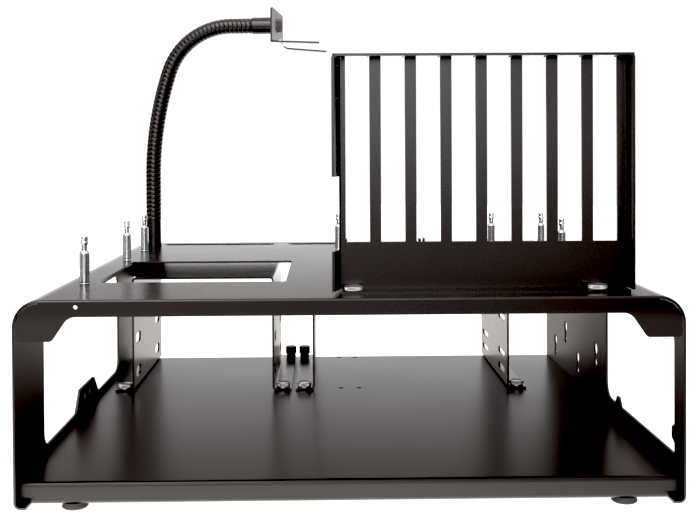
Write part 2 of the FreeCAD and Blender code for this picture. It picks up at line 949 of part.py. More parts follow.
def make_card_rack():
    """Upright rack for the card brackets: slotted plate with flanges and a foot towards the front."""
    body = new_body("card_rack")
    left = rack_x
    front = rack_front
    back = front + d.sheet
    tip = front - d.rack_flange
    low = d.deck_height
    foot_top = low + d.sheet
    high = low + d.rack_height
    side_top = high - d.rack_top_step
    inside_left = left + d.rack_bend
    inside_right = rack_right - d.rack_bend
    foot = rectangle(inside_left, inside_right - d.rack_foot_gap, tip, back)
    pad(body, "rack_foot_fold", "XY", low, foot_top, foot)
    pad(body, "rack_wall", "XY", foot_top, side_top, rack_section())
    bridge = rectangle(inside_left, inside_right, front, back)
    pad(body, "rack_crown", "XY", side_top - d.sheet, high, bridge)
    top = polygon((rack_inner_tip, tip), (inside_right, tip), (inside_right, back), (inside_left, back))
    pad(body, "rack_top", "XY", high - d.sheet, high, top)
    round_edges(
        body, "rack_crown_fold", d.fold_radius, lambda point: same(point.z, high) and same(point.y, back)
    )
    slots = []
    windows = []
    holes = []
    for index in range(card_slots):
        middle = left + d.card_first + d.card_pitch * index
        wide = d.card_slot / 2
        narrow = wide - d.card_ear
        slots.append(rectangle(middle - wide, middle + wide, low + d.card_sill, high - d.sheet))
        windows.append(rectangle(middle - narrow, middle + narrow, tip + d.card_rim, back))
        holes.append(Circle(middle + d.card_hole_offset, (tip + front) / 2, d.card_hole_radius))
    cut(body, "card_slots", "XZ", front, back, *slots)
    cut(body, "card_windows", "XY", high - d.sheet, high, *windows, *holes)
    notch = rectangle(
        left - d.rack_flange, left + d.rack_notch_width, low + d.rack_notch_low, low + d.rack_notch_high
    )
    cut(body, "rack_notch", "XZ", tip, back, notch)
    side_holes = [
        Circle(
            (tip + front) / 2,
            low + d.rack_side_hole_low + d.rack_side_hole_pitch * step,
            d.rack_side_hole_radius,
        )
        for step in range(2)
    ]
    cut(body, "rack_side_holes", "YZ", left - d.rack_flange, left + d.sheet, *side_holes)
    foot_holes = [Circle(x, y, screw_hole) for x, y in rack_screw_places()]
    cut(body, "rack_foot_holes", "XY", low, foot_top, *foot_holes)
    return node(body)


def make_thumbscrew(label, x, y, seat, head):
    """Hand screw on a seat level: a turned head over a plain shank that runs in a press nut."""
    body = new_body(label)
    depth = d.sheet * 2 + d.insert_height + d.shank_spare
    shank = [(0, -depth), (d.shank_radius, -depth), (d.shank_radius, 0)]
    turn(body, f"{label}_turned", polygon(*shank, *head))
    place(body, x, y, seat)
    return node(body)


def low_head(radius, height):
    """Flat knurled head with bevelled rims."""
    return [
        (radius - d.cap_bevel, 0),
        (radius, d.cap_bevel),
        (radius, height - d.cap_bevel),
        (radius - d.cap_bevel, height),
        (0, height),
    ]


def collared_head():
    """Low knurled head that stands on a collar."""
    return [
        (d.cap_collar_radius, 0),
        (d.cap_collar_radius, d.cap_collar_height),
        (d.cap_radius - d.cap_bevel, d.cap_collar_height),
        (d.cap_radius, d.cap_collar_height + d.cap_bevel),
        (d.cap_radius, d.cap_height - d.cap_bevel),
        (d.cap_radius - d.cap_bevel, d.cap_height),
        (0, d.cap_height),
    ]


def tall_head():
    """Knob on a slim neck."""
    top = d.knob_neck_height + d.knob_height
    return [
        (d.knob_neck_radius, 0),
        (d.knob_neck_radius, d.knob_neck_height),
        (d.knob_radius - d.cap_bevel, d.knob_neck_height),
        (d.knob_radius, d.knob_neck_height + d.cap_bevel),
        (d.knob_radius, top - d.cap_bevel),
        (d.knob_radius - d.cap_bevel, top),
        (0, top),
    ]


def make_thumbscrews():
    """Four screws on each cage, low in front and tall behind, and two low ones on the card rack."""
    for cage in ("drive", "bay"):
        for spot, x, y in cage_screws_of(cage):
            head = collared_head() if spot.startswith("front") else tall_head()
            make_thumbscrew(f"{cage}_screw_{spot}", x, y, d.tray_top + d.sheet, head)
    for side, (x, y) in zip(("left", "right"), rack_screw_places()):
        head = low_head(d.rack_cap_radius, d.rack_cap_height)
        make_thumbscrew(f"rack_screw_{side}", x, y, d.deck_height + d.sheet, head)


def hollow_round(name, x, y, low, radius, bore, height):
    """Round nut with a plain bore."""
    outside = document.addObject("Part::Cylinder", f"{name}_outside")
    set_length(outside, "Radius", radius)
    set_length(outside, "Height", height)
    return bored(name, outside, x, y, low, bore, height)


def hollow_hex(name, x, y, low, radius, bore, height):
    """Six-sided nut with a plain bore."""
    outside = document.addObject("Part::Prism", f"{name}_outside")
    outside.Polygon = 6
    set_length(outside, "Circumradius", radius)
    set_length(outside, "Height", height)
    return bored(name, outside, x, y, low, bore, height)


def bored(name, outside, x, y, low, bore, height):
    """Cut a bore through an upright blank and put it in its place."""
    inside = document.addObject("Part::Cylinder", f"{name}_bore")
    set_length(inside, "Radius", bore)
    set_length(inside, "Height", height)
    nut = document.addObject("Part::Cut", name)
    nut.Base = outside
    nut.Tool = inside
    place(nut, x, y, low)
    return nut


def group(label, items):
    """Several like pieces that share one name."""
    compound = document.addObject("Part::Compound", label)
    compound.Label = label
    compound.Links = items
    return node(compound)


def make_press_nuts():
    """Round nuts pressed into the tray and the deck from below, one under each thumbscrew."""
    tray_low = tray_under - d.insert_height
    deck_low = deck_under - d.insert_height
    group(
        "cage_press_nuts",
        [
            hollow_round(f"cage_nut_{index}", x, y, tray_low, d.insert_radius, fit_hole, d.insert_height)
            for index, (x, y) in enumerate(cage_screw_places())
        ],
    )
    group(
        "rack_press_nuts",
        [
            hollow_round(f"rack_nut_{index}", x, y, deck_low, d.insert_radius, fit_hole, d.insert_height)
            for index, (x, y) in enumerate(rack_screw_places())
        ],
    )


def make_standoffs():
    """Push-on pins that hold a board: a stud, a round body, a neck and a split springy tip."""
    depth = d.sheet + d.nut_height + d.stud_spare
    shape = polygon(
        (0, -depth),
        (d.stud_radius, -depth),
        (d.stud_radius, 0),
        (d.pin_radius, 0),
        (d.pin_radius, d.pin_height),
        (d.pin_neck_radius, d.pin_shoulder),
        (d.pin_neck_radius, d.pin_bulge_height - d.pin_bulge_radius + d.pin_neck_radius),
        (d.pin_bulge_radius, d.pin_bulge_height),
        (d.pin_tip_radius, d.pin_tip),
        (0, d.pin_tip),
    )
    for number, (x, y) in enumerate(PIN_PLACES, start=1):
        label = f"standoff_{number:02d}"
        body = new_body(label)
        turn(body, f"{label}_turned", shape)
        slit = rectangle(-d.pin_slit / 2, d.pin_slit / 2, d.pin_tip - d.pin_slit_depth, d.pin_tip)
        cut(body, f"{label}_slit", "XZ", -d.pin_radius, d.pin_radius, slit)
        place(body, x, y, d.deck_height)
        node(body)
    bore = d.stud_radius + d.running_gap
    low = deck_under - d.nut_height
    nuts = [
        hollow_hex(f"pin_nut_{index}", x, y, low, d.nut_radius, bore, d.nut_height)
        for index, (x, y) in enumerate(PIN_PLACES)
    ]
    group("standoff_nuts", nuts)


def make_arm_ferrule():
    """Tapered ferrule that roots the flexible arm, with a stud through the deck and a nut below."""
    body = new_body("arm_base_ferrule")
    depth = d.sheet + d.ferrule_nut_height
    shape = polygon(
        (0, -depth),
        (d.ferrule_stud_radius, -depth),
        (d.ferrule_stud_radius, 0),
        (d.ferrule_radius, 0),
        (d.ferrule_top_radius, d.ferrule_height),
        (0, d.ferrule_height),
    )
    turn(body, "ferrule_turned", shape)
    place(body, arm_x, arm_y, d.deck_height)
    node(body)
    nut = hollow_hex(
        "arm_base_nut",
        arm_x,
        arm_y,
        deck_under - d.ferrule_nut_height,
        d.ferrule_nut_radius,
        d.ferrule_stud_radius + d.running_gap,
        d.ferrule_nut_height,
    )
    nut.Label = "arm_base_nut"
    node(nut)


def arm_pieces():
    """Line of the arm in its own upright plane: length and curvature of each piece in turn."""
    lean = math.radians(d.arm_lean.value)
    bend = math.pi / 2 - lean
    return [
        (d.arm_straight.value, 0.0),
        (d.arm_lean_radius.value * lean, 1 / d.arm_lean_radius.value),
        (d.arm_bend_radius.value * bend, 1 / d.arm_bend_radius.value),
        (d.arm_tail.value, 0.0),
    ]


def arm_point(distance):
    """Reach, height above the deck and lean from upright at a distance along the arm's line."""
    reach, height, lean = 0.0, d.ferrule_height.value, 0.0
    for length, curvature in arm_pieces():
        part = min(distance, length)
        if curvature:
            after = lean + part * curvature
            reach += (math.cos(lean) - math.cos(after)) / curvature
            height += (math.sin(after) - math.sin(lean)) / curvature
            lean = after
        else:
            reach += part * math.sin(lean)
            height += part * math.cos(lean)
        distance -= part
    return reach, height, lean


def make_flex_arm():
    """Ringed flexible tube: round sections, alternately wide and narrow, joined along the arm's line."""
    length = sum(piece_length for piece_length, _ in arm_pieces())
    ridges = max(2, round(length / d.arm_ridge_pitch.value))
    sections = []
    for step in range(2 * ridges + 1):
        reach, height, lean = arm_point(length * step / (2 * ridges))
        circle = document.addObject("Part::Circle", f"arm_section_{step}")
        set_length(circle, "Radius", d.arm_ridge_radius if step % 2 else d.arm_groove_radius)
        upright = Rotation(Vector(0, 1, 0), math.degrees(lean))
        circle.Placement = Placement(Vector(reach, 0, height), upright)
        sections.append(circle)
    arm = document.addObject("Part::Loft", "flex_arm")
    arm.Label = "flex_arm"
    arm.Sections = sections
    arm.Solid = True
    arm.Ruled = True
    on_arm(arm, ZERO, d.deck_height)
    return node(arm)


def make_end_ferrule():
    """Ferrule on the free end of the arm, with a stud for the bracket and its nut."""
    body = new_body("arm_end_ferrule")
    radius = d.end_ferrule_radius
    length = d.end_ferrule_length
    bevel = d.end_ferrule_bevel
    stud = length + d.bracket_sheet + d.bracket_nut_height
    shape = polygon(
        (0, 0),
        (radius - bevel, 0),
        (radius, bevel),
        (radius, length - bevel),
        (radius - bevel, length),
        (d.bracket_stud_radius, length),
        (d.bracket_stud_radius, stud),
        (0, stud),
    )
    turn(body, "end_ferrule_turned", shape)
    lay_along_arm(body, arm_reach)
    return node(body)


def lay_along_arm(item, along):
    """Lay a turned piece on the arm's level end, with its own axis along the reach."""
    on_arm(item, along, arm_level)
    heading = Rotation(Vector(0, 0, 1), d.arm_heading.value)
    item.Placement.Rotation = heading.multiply(Rotation(Vector(0, 1, 0), 90))


def make_fan_bracket():
    """Clip for a fan: an upright plate with two thin prongs along its lower edge."""
    body = new_body("fan_bracket")
    low = -d.bracket_below
    root = low + d.prong_step
    plate = polygon(
        (-d.bracket_near, low),
        (d.prong_width - d.bracket_near, low),
        (d.bracket_far - d.prong_width, low + d.bracket_rise),
        (d.bracket_far - d.prong_width, root),
        (d.bracket_far, root),
        (d.bracket_far, d.bracket_above, d.bracket_corner),
        (-d.bracket_near, d.bracket_above, d.bracket_corner),
    )
    hole = Circle(0, 0, d.bracket_stud_radius + d.running_gap)
    pad(body, "bracket_plate", "YZ", 0, d.bracket_sheet, plate, hole)
    tip = d.bracket_sheet + d.prong_length
    near_end = low - d.near_prong_droop
    near = polygon(
        (0, low),
        (d.bracket_sheet, low),
        (tip, near_end),
        (tip, near_end + d.prong_sheet),
        (d.bracket_sheet, low + d.prong_sheet),
        (0, low + d.prong_sheet),
    )
    pad(body, "near_prong", "XZ", -d.bracket_near, d.prong_width - d.bracket_near, near)
    bend = d.bracket_sheet + d.prong_step_run
    knee = low + d.prong_bend_lift
    end = low - d.prong_droop
    far = polygon(
        (0, root),
        (d.bracket_sheet, root),
        (bend, knee),
        (tip, end),
        (tip, end + d.prong_sheet),
        (bend, knee + d.prong_sheet),
        (d.bracket_sheet, root + d.prong_sheet),
        (0, root + d.prong_sheet),
    )
    pad(body, "far_prong", "XZ", d.bracket_far - d.prong_width, d.bracket_far, far)
    on_arm(body, arm_reach + d.end_ferrule_length, arm_level)
    return node(body)


def make_bracket_nut():
    """Nut on the ferrule's stud, outside the bracket."""
    bore = d.bracket_stud_radius + d.running_gap
    nut = hollow_hex(
        "bracket_nut", ZERO, ZERO, ZERO, d.bracket_nut_radius, bore, d.bracket_nut_height
    )
    nut.Label = "bracket_nut"
    lay_along_arm(nut, arm_reach + d.end_ferrule_length + d.bracket_sheet)
    return node(nut)


def make_feet():
    """Rubber feet bonded under the rolled lips of the tray, slightly tapered."""
    names = ("front_left", "front_right", "rear_left", "rear_right")
    shape = polygon(
        (0, 0),
        (d.foot_radius - d.foot_bevel, 0),
        (d.foot_radius, d.foot_bevel),
        (d.foot_top_radius, d.shell_lift),
        (0, d.shell_lift),
    )
    for name, (x, y) in zip(names, foot_places()):
        label = f"foot_{name}"
        body = new_body(label)
        turn(body, f"{label}_turned", shape)
        place(body, x, y, ZERO)
        node(body)


def check_model():
    """Stop if any feature failed, or if a pad or pocket left its solid as it was."""
    for item in document.Objects:
        if "Invalid" in item.State or "Error" in item.State:
            raise RuntimeError(f"{item.Name} failed: {item.State}")
        if item.isDerivedFrom("PartDesign::ProfileBased") and item.BaseFeature is not None:
            change = item.Shape.Volume - item.BaseFeature.Shape.Volume
            grows = item.TypeId != "PartDesign::Pocket"
            if abs(change) < 1e-6 or (change > 0) != grows:
                raise RuntimeError(f"{item.Name} changed the volume by {change}")
    for item in nodes:
        if item.Shape.isNull() or not item.Shape.isValid():
            raise RuntimeError(f"{item.Label} has no valid shape")


def main():
    make_frame_shell()
    make_base_tray()
    make_cage("drive", drive_slots())
    make_cage("bay", bay_slots())
    make_card_rack()
    make_thumbscrews()
    make_press_nuts()
    make_standoffs()
    make_arm_ferrule()
    make_flex_arm()
    make_end_ferrule()
    make_fan_bracket()
    make_bracket_nut()
    make_feet()
    document.recompute()
    check_model()
    os.makedirs("parts", exist_ok=True)
    for item in nodes:
        item.Shape.exportStep(f"parts/{item.Label}.step")
    print(len(nodes), "sub-parts written")


main()
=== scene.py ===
# %% [markdown]
# # An open test bench, dressed for its picture
# The bench is folded from black coated sheet: a deck on two side walls, a floor with rolled lips, two drive
# cages and a slotted card rack. Turned pins stand on the deck, and a ribbed flexible arm holds a fan bracket.
# The solids come ready made, to the right size. What they lack is finish: knurls, ribs, split tips, the coat
# on the sheet and the light of a white studio. The solids are loaded first, and the box round a part is read
# from its points when it is needed.

# %% The solids and their box
import json
import math
import bpy
import numpy as np
from mathutils import Matrix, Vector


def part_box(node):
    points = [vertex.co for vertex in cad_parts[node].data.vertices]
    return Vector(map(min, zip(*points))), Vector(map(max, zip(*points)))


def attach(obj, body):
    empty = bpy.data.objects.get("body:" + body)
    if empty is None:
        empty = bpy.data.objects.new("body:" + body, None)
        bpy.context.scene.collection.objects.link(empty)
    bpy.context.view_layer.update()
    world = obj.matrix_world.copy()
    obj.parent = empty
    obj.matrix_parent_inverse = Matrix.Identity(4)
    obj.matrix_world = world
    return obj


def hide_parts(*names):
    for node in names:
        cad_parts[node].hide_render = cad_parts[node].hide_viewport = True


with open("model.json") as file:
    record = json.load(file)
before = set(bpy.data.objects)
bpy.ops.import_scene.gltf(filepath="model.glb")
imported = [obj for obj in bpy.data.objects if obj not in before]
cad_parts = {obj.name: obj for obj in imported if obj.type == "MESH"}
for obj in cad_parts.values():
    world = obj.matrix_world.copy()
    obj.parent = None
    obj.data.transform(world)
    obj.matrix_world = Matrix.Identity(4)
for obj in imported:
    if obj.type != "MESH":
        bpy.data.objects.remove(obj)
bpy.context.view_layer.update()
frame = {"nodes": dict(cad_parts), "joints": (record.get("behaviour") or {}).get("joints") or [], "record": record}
solids = frame["nodes"]
scene = bpy.context.scene

# %% [markdown]
# ## The camera
# A maker who wants to lay a render over a photograph works out where the camera stood. Here the pins, which
# stand on a standard hole layout, gave its place. It was almost level, a little to the left of the middle.
# The picture was cropped afterwards, so its optical centre is not its middle, and that is what the shift is
# for. Turning the camera instead would make the upright bars lean.

# %% Camera at the photograph's place
yaw, pitch, roll = np.radians([0.878, 0.733, -0.303])
forward = np.array([np.sin(yaw) * np.cos(pitch), np.cos(yaw) * np.cos(pitch), -np.sin(pitch)])
level = np.array([np.cos(yaw), -np.sin(yaw), 0.0])
upright = np.cross(level, forward)
right = np.cos(roll) * level + np.sin(roll) * upright
up = np.cos(roll) * upright - np.sin(roll) * level
eye = np.array([-0.01355, -0.72279, 0.19890])

lens = bpy.data.cameras.new("photo_lens")
lens.sensor_width = 36.0
lens.lens = 51.91
lens.shift_x = 0.0136
lens.shift_y = -0.1349
camera = bpy.data.objects.new("photo_camera", lens)
scene.collection.objects.link(camera)
camera.matrix_world = Matrix([*np.column_stack([right, up, -forward, eye]).tolist(), [0, 0, 0, 1]])
scene.camera = camera
print("camera looks along", np.round(forward, 3).tolist())

# %% [markdown]
# ## Surfaces from arrays
# Almost every small part of the bench was turned on a lathe or bent from a tube, so its skin is a grid: one
# direction runs along the part and the other goes round it. Blender's own primitives would give bare
# cylinders. With numpy the whole skin is one formula, and a knurl or a rib is one more term in it.
# The grid closes on itself round the part, and a flat face closes each end.

# %% Faces of a grid
MM = 0.001
UP = np.array([0.0, 0.0, 1.0])


def full_turn(count):
    """Angles of one turn in so many equal steps."""
    return np.linspace(0.0, 2 * math.pi, count, endpoint=False)


def ring_quads(rows, columns):
    """Faces of a grid that closes round: corner (i, j) joins (i, j + 1), (i + 1, j + 1) and (i + 1, j)."""
    i, j = np.meshgrid(np.arange(rows - 1), np.arange(columns), indexing="ij")
    k = (j + 1) % columns
    corners = [i * columns + j, i * columns + k, (i + 1) * columns + k, (i + 1) * columns + j]
    return np.stack(corners, axis=-1).reshape(-1, 4)


print("faces of a grid of 3 by 8:", len(ring_quads(3, 8)))

# %% From grids to a piece of the bench


def make_piece(name, grids, finish, body, slot, *stands_for, crease=32):
    """One object from closed grids in millimetres, shaded smooth but for creases over so many degrees."""
    faces, points, start = [], [], 0
    for grid in grids:
        rows, columns = grid.shape[:2]
        foot = np.arange(columns) + start
        faces += (ring_quads(rows, columns) + start).tolist()
        faces += [foot[::-1].tolist(), (foot + (rows - 1) * columns).tolist()]
        points.append(grid.reshape(-1, 3) * MM)
        start += rows * columns
    mesh = bpy.data.meshes.new(name)
    mesh.from_pydata(np.concatenate(points), [], faces)
    mesh.polygons.foreach_set("use_smooth", np.ones(len(mesh.polygons), dtype=bool))
    mesh.set_sharp_from_angle(angle=math.radians(crease))
    mesh.materials.append(finish)
    piece = bpy.data.objects.new(name, mesh)
    scene.collection.objects.link(piece)
    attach(piece, body)
    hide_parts(*stands_for)


def middle_of(node):
    """Place of an upright turned part, in millimetres: its axis and its top."""
    low, high = (np.array(corner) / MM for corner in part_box(node))
    return (low[0] + high[0]) / 2, (low[1] + high[1]) / 2, high[2]


print("the arm's root ends at", np.round(middle_of("arm_base_ferrule"), 1).tolist(), "mm")

# %% [markdown]
# ## Shader sums
# A finish is a small sum: a base roughness, plus a little grain, minus some wear. Written as nodes by hand
# such a sum takes a dozen lines, so a socket is wrapped in a class that knows the signs of arithmetic, and
# every sign adds its Math node. All other nodes come from one function.

# %% Sockets that can be added and multiplied


def add_node(tree, kind, settings=None, inputs=None, output=0):
    """Add a node, set it up, then fill or link its sockets. Returns one output, ready for sums."""
    item = tree.nodes.new(kind)
    for key, value in (settings or {}).items():
        setattr(item, key, value)
    for key, value in (inputs or {}).items():
        if isinstance(value, Wire):
            tree.links.new(value.socket, item.inputs[key])
        else:
            item.inputs[key].default_value = value
    return Wire(item.outputs[output])


class Wire:
    """An output socket in a sum."""

    def __init__(self, socket):
        self.socket = socket
        self.tree = socket.id_data

    def math(self, operation, first, second):
        return add_node(self.tree, "ShaderNodeMath", {"operation": operation}, {0: first, 1: second})

    def __add__(self, other):
        return self.math("ADD", self, other)

    __radd__ = __add__

    def __mul__(self, other):
        return self.math("MULTIPLY", self, other)

    __rmul__ = __mul__

    def __sub__(self, other):
        return self.math("SUBTRACT", self, other)

    def __rsub__(self, other):
        return self.math("SUBTRACT", other, self)


print("signs that add a node: + - *")

# %% [markdown]
# ## What every finish needs
# A finish reads a place on the piece, lets a soft noise drift over it, and blends two colours by that noise.
# Steps as plain as these could be typed out for each material. As functions they keep a material down
# to a few lines, and the lines then read like a recipe. A mask is a number between 0, dark, and 1, light.

# %% A finish and its solid


def new_finish(name, **sockets):
    """A material with one Principled shader whose plain values are set on its own sockets."""
    finish = bpy.data.materials.new(name)
    finish.use_nodes = True
    shader = finish.node_tree.nodes["Principled BSDF"]
    for key, value in sockets.items():
        shader.inputs[key.replace("_", " ")].default_value = value
    place = add_node(finish.node_tree, "ShaderNodeTexCoord", output="Object")
    return finish, shader, place


def feed(shader, key, wire):
    """Link a varying value to one socket of the shader."""
    shader.id_data.links.new(wire.socket, shader.inputs[key])


def paint(node, finish):
    """Give a solid its finish."""
    solids[node].material_slots[0].material = finish


print("materials to begin with:", len(bpy.data.materials))

# %% Noises, masks and blends
COLOUR_A, COLOUR_B, COLOUR_RESULT = 6, 7, 2  # sockets of a Mix node that blends colours


def noise(place, scale, detail=2.0):
    """Soft noise with so many cells to the metre."""
    inputs = {"Vector": place, "Scale": scale, "Detail": detail}
    return add_node(place.tree, "ShaderNodeTexNoise", None, inputs, "Fac")


def blend_colours(factor, first, second):
    """Colour between two others, each a wire or three numbers."""
    first, second = (colour if isinstance(colour, Wire) else (*colour, 1.0) for colour in (first, second))
    inputs = {"Factor": factor, COLOUR_A: first, COLOUR_B: second}
    return add_node(factor.tree, "ShaderNodeMix", {"data_type": "RGBA"}, inputs, COLOUR_RESULT)


def relief(height, strength, distance):
    """Bump from a height field; distance is the real depth in metres."""
    inputs = {"Height": height, "Strength": strength, "Distance": distance}
    return add_node(height.tree, "ShaderNodeBump", None, inputs)


def along(place, axis):
    """One coordinate of a place: X, Y or Z, in metres."""
    return add_node(place.tree, "ShaderNodeSeparateXYZ", None, {0: place}, axis)


def fade(value, dark, light):
    """Mask by a smooth step: 0 where the value is dark, 1 where it is light."""
    inputs = {"Value": value, "From Min": dark, "From Max": light}
    return add_node(value.tree, "ShaderNodeMapRange", {"interpolation_type": "SMOOTHSTEP"}, inputs)


def either(first, second):
    """Mask that is light where one of two masks is: their sum less their product."""
    return first + second - first * second


print("a mask of 0.5 and one of 0.5 give", either(0.5, 0.5))

# %% [markdown]
# ## The black coat on the sheet
# Powder coat is baked on, and it levels into a very fine skin like the peel of an orange. It looks black from
# above and turns grey when it is seen at a low angle, because the smooth skin then mirrors the white room.
# So the base stays almost black, the roughness does the work, and two noises give the peel and its grain.
# The deck is the smoothest, the floor and the cages are a little duller, and the shell's sides the dullest.

# %% Coat of the folded sheet
DECK_LEVEL, SIDE_LEVEL = 0.112, 0.104  # the deck's fold ends and the plain sides begin, in metres
COAT_DARK, COAT_LIGHT = (0.0030, 0.0026, 0.0026), (0.0050, 0.0045, 0.0045)
PEEL_CELLS, GRAIN_CELLS, CLOUD_CELLS = 620.0, 2600.0, 14.0  # to the metre


def coat_sheet(name, sheets, ior, dull, dull_sides=0.0):
    """Roughness = dull + cloud and grain, plus dull_sides below the deck's fold."""
    coat, shader, place = new_finish(name, IOR=ior)
    peel = noise(place, PEEL_CELLS)
    grain = noise(place, GRAIN_CELLS, detail=1.0)
    cloud = noise(place, CLOUD_CELLS, detail=3.0)
    sides = fade(along(place, "Z"), DECK_LEVEL, SIDE_LEVEL)
    feed(shader, "Base Color", blend_colours(cloud, COAT_DARK, COAT_LIGHT))
    feed(shader, "Roughness", dull + 0.05 * cloud + 0.06 * (grain - 0.5) + dull_sides * sides)
    feed(shader, "Normal", relief(peel + 0.5 * grain, strength=0.03, distance=0.0002))
    for sheet in sheets:
        paint(sheet, coat)
    return coat


shell_coat = coat_sheet("shell_coat", ["frame_shell"], ior=1.475, dull=0.235, dull_sides=0.2)
coat_sheet("floor_coat", ["base_tray"], ior=1.375, dull=0.285)
cage_coat = coat_sheet("cage_coat", ["drive_cage", "bay_cage", "card_rack"], ior=1.47, dull=0.25)
print("materials, with the coats:", len(bpy.data.materials))

# %% [markdown]
# ## Gusset plates and closed corners
# Behind the deck a small plate on each gusset makes it deeper and closes the slit to the side wall, and at
# the top of the card rack a bead closes the slit between two flanges. Both could be cubes with a bevel. They
# are short flat bars with soft edges, so here one section is carried along a straight line. A superellipse
# gives the flat faces and the soft edges in one formula.

# %% Section carried along a line


def bar(start, end, wide, low, high, around=32, square=0.25):
    """Point = start + s (end - start) + wide c across + height k, where (c, k) goes round a superellipse."""
    t = full_turn(around)
    c = np.sign(np.cos(t)) * np.abs(np.cos(t)) ** square
    k = np.sign(np.sin(t)) * np.abs(np.sin(t)) ** square
    s, low = np.linspace(0.0, 1.0, len(low))[:, None], np.array(low)[:, None]
    step = np.array(end) - np.array(start)
    run = step / np.linalg.norm(step)
    x = start[0] + s * step[0] - wide * c * run[1]
    y = start[1] + s * step[1] + wide * c * run[0]
    return np.stack([x, y, (high + low) / 2 + (high - low) / 2 * k], axis=-1)


print("points round a bar:", bar((0, 0), (1, 0), 1, [0, 0], 1).shape[1])

# %% Plates on the gussets behind
SHEET = 1.5
wall, depth, deck = np.array(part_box("frame_shell")[1]) / MM
plate_outer, plate_inner = wall - 1.55, wall - 21.5
plate_y = depth - 1.5 * SHEET
plate_low, plate_heel, plate_top = deck - 29.8, deck - 23.3, deck - 15.3
for name, side in (("left", -1), ("right", 1)):
    ends = (side * plate_outer, plate_y), (side * plate_inner, plate_y)
    plate = bar(*ends, SHEET / 2, [plate_low, plate_low, plate_low, plate_heel], plate_top)
    make_piece("rear_gusset_" + name, [plate], shell_coat, "bench", "sheet_black")
print("gusset plates:", round(plate_top - plate_low, 1), "mm high")

# %% Beads at the top of the rack
rack_low, rack_high = (np.array(corner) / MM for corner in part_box("card_rack"))
bead_front, bead_back = rack_low[1], rack_high[1] - 1.0
bead_low, bead_high = rack_high[2] - 1.9, rack_high[2]
corners = {  # where each bead starts and ends from side to side, and half its width
    "left": (rack_low[0] + 1.3, rack_low[0] + 4.6, 0.75),
    "right": (rack_high[0] - 1.2, rack_high[0] - 1.2, 0.8),
}
for name, (front_x, back_x, wide) in corners.items():
    bead = bar((front_x, bead_front), (back_x, bead_back), wide, [bead_low, bead_low], bead_high)
    make_piece("rack_corner_" + name, [bead], cage_coat, "bench", "sheet_black")
print("beads:", round(bead_back - bead_front, 1), "mm long")

# %% [markdown]
# ## The small metal and the rubber
# The arm is plated black and polished, the knobs are blackened steel, the pins and the low screws are nickel,
# and the bracket and the nuts are zinc plated. Nickel keeps fine rings from the lathe, so its bump is a wave
# along the upright axis. Zinc has a cloudy spangle, and rubber a dull bloom. A picture of each metal could be
# wrapped round the parts, but a noise has no seam and keeps its scale on every part.

# %% Mottled and turned finishes


def mottled(name, cells, detail, dark, light, dull, spread, bump=None, **sockets):
    """Colour from dark to light and roughness = dull + spread, by one noise that may also be the bump."""
    finish, shader, place = new_finish(name, **sockets)
    drift = noise(place, cells, detail)
    feed(shader, "Base Color", blend_colours(drift, dark, light))
    feed(shader, "Roughness", dull + spread * drift)
    if bump:
        feed(shader, "Normal", relief(drift, *bump))
    return finish, shader, place


def turned_metal(name, dull, dark, light):
    """Turned metal between two shades, with the rings that the tool leaves."""
    metal, shader, place = mottled(name, 240.0, 3.0, dark, light, dull, spread=0.1, Metallic=1.0)
    wave = {"wave_type": "BANDS", "bands_direction": "Z"}
    tool = {"Vector": place, "Scale": 900.0, "Distortion": 0.6}
    rings = add_node(place.tree, "ShaderNodeTexWave", wave, tool, "Fac")
    feed(shader, "Normal", relief(rings, strength=0.04, distance=0.0001))
    return metal


print("materials before the small parts:", len(bpy.data.materials))

# %% Black plate, blackened steel, nickel, zinc and rubber
SPANGLE_CELLS = 330.0  # to the metre
dark, light = (0.005, 0.0048, 0.0048), (0.009, 0.0087, 0.0087)
arm_gloss, *_ = mottled("arm_gloss", 90.0, 3.0, dark, light, dull=0.22, spread=0.1, IOR=1.5)

dark, light = (0.035, 0.034, 0.033), (0.06, 0.0585, 0.057)
bloom = (0.1, 0.0002)
knob_black, *_ = mottled("knob_black", 900.0, 2.0, dark, light, dull=0.32, spread=0.14, bump=bloom, IOR=1.5)

nickel = turned_metal("bright_nickel", dull=0.26, dark=(0.52, 0.53, 0.54), light=(0.62, 0.63, 0.64))
pin_nickel = turned_metal("pin_nickel", dull=0.15, dark=(0.54, 0.55, 0.57), light=(0.64, 0.65, 0.67))

dark, light = (0.60, 0.60, 0.59), (0.74, 0.74, 0.73)
zinc, *_ = mottled("zinc_plate", SPANGLE_CELLS, 4.0, dark, light, dull=0.28, spread=0.2, Metallic=1.0)

dark, light = (0.012, 0.012, 0.012), (0.026, 0.026, 0.026)
dust = (0.15, 0.0003)
rubber, *_ = mottled("foot_rubber", 500.0, 4.0, dark, light, dull=0.62, spread=0.2, bump=dust, IOR=1.5)
print("materials, with the small parts:", len(bpy.data.materials))

# %% [markdown]
# ## The fan bracket
# The bracket is one zinc plate on the end of the arm. Its face is painted lighter than the zinc of the nuts, as
# if lit. Its prongs and the cut edge that looks at the camera mirror the dark floor and read as black. They could
# be pieces of their own, but they are one sheet with the plate, so that dark reflection is painted on: masks
# darken them, the prongs by height, and the edge by its distance from the bracket's axis, measured across the
# plate.

# %% Zinc with a painted light face and a painted dark reflection on the prongs and the edge
# painted dark reflection: where the prongs begin and where the cut edge begins, the colour turns near black
PRONG_REFLECTION_FADE = 0.2915, 0.2905  # the plate ends and the prongs begin, levels in metres
EDGE_REFLECTION_FADE = 0.0007, 0.0003  # the face ends and the cut edge begins, from the edge in metres
HALF_PLATE = 0.029
swivel = next(joint for joint in frame["joints"] if joint["name"] == "bracket_swivel")
heading = np.array(swivel["axis"])
across_plate = np.cross(UP, heading)
near_edge = across_plate @ np.array(swivel["pos_m"]) - HALF_PLATE

